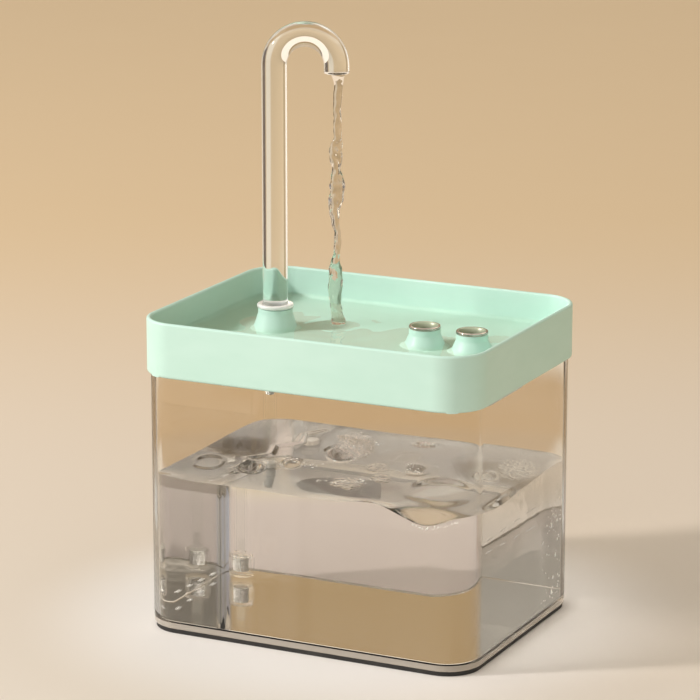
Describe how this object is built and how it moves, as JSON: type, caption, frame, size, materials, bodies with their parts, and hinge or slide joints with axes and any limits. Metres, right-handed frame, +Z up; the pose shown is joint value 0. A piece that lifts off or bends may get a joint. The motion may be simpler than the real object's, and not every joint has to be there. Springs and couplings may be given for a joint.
{
  "type": "pet water fountain",
  "caption": "Pet water fountain: clear rectangular tank, moulded drinking tray with raised drains, clear U-bend spout, filter basket and an under-tray pump.",
  "frame": {"origin": "on the ground, under the middle of the tray", "axes": "+Z up, +X along the wide front face, +Y from the front towards the back"},
  "size_m": [0.18, 0.14, 0.2973],
  "materials": {
    "clear_tank": "clear moulded plastic, polished",
    "mint_shell": "satin moulded mint-green plastic",
    "clear_spout": "clear acrylic, polished",
    "clear_hose": "clear silicone",
    "sleeve_steel": "polished pressed stainless steel",
    "white_collar": "white glossy silicone",
    "white_plastic": "white moulded plastic",
    "clear_strainer": "clear moulded plastic",
    "dark_rubber": "dark soft rubber",
    "carbon_media": "granular activated carbon",
    "cotton_media": "white needled felt",
    "sponge_media": "pale open-cell foam",
    "core_steel": "laminated steel",
    "copper_wire": "enamelled copper wire",
    "board": "solder-masked board",
    "magnet": "moulded ferrite",
    "ceramic": "polished technical ceramic",
    "screw_steel": "stainless steel"
  },
  "bodies": {
    "tank": {"tank": "clear_tank", "foot_ring": "dark_rubber"},
    "tray": {"tray": "mint_shell", "drain_sleeve_inner": "sleeve_steel", "drain_sleeve_outer": "sleeve_steel", "feed_hose": "clear_hose", "pump_housing": "white_plastic", "pump_rear_cap": "white_plastic", "stator_core": "core_steel", "stator_coils": "copper_wire", "drive_board": "board", "rotor_shaft": "ceramic", "rear_bush": "ceramic", "front_bush": "ceramic", "chamber_seal": "dark_rubber", "volute_cover": "white_plastic", "inlet_cap": "white_plastic", "pump_screws": "screw_steel", "suction_feet": "dark_rubber", "cord_gland": "dark_rubber", "suction_tube": "clear_hose", "strainer": "clear_strainer", "strainer_base": "clear_strainer", "intake_sponge": "sponge_media"},
    "spout_collar": {"spout_collar": "white_collar"},
    "spout": {"spout_tube": "clear_spout"},
    "rotor": {"rotor_magnet": "magnet", "impeller": "white_plastic"},
    "flow_ring": {"flow_ring": "clear_strainer"},
    "filter": {"filter_basket": "white_plastic", "filter_lid": "white_plastic", "filter_cotton": "cotton_media", "filter_carbon": "carbon_media"}
  },
  "joints": [
    {"name": "tray_lift", "type": "slide", "parent": "tank", "child": "tray", "axis": [0, 0, 1], "range_m": [0, 0.14]},
    {"name": "spout_swivel", "type": "hinge", "parent": "tray", "child": "spout_collar", "pos_m": [-0.0475, 0, 0.15], "axis": [0, 0, 1], "continuous": true},
    {"name": "spout_pull", "type": "slide", "parent": "spout_collar", "child": "spout", "axis": [0, 0, 1], "range_m": [0, 0.025]},
    {"name": "filter_drop", "type": "slide", "parent": "tray", "child": "filter", "axis": [0, 0, -1], "range_m": [0, 0.012]},
    {"name": "impeller_spin", "type": "hinge", "parent": "tray", "child": "rotor", "pos_m": [-0.0475, 0.043, 0.1188], "axis": [1, 0, 0], "continuous": true},
    {"name": "flow_ring_turn", "type": "hinge", "parent": "tray", "child": "flow_ring", "pos_m": [-0.07292, 0.043, 0.0133], "axis": [0, 0, 1], "range_deg": [0, 30]}
  ]
}
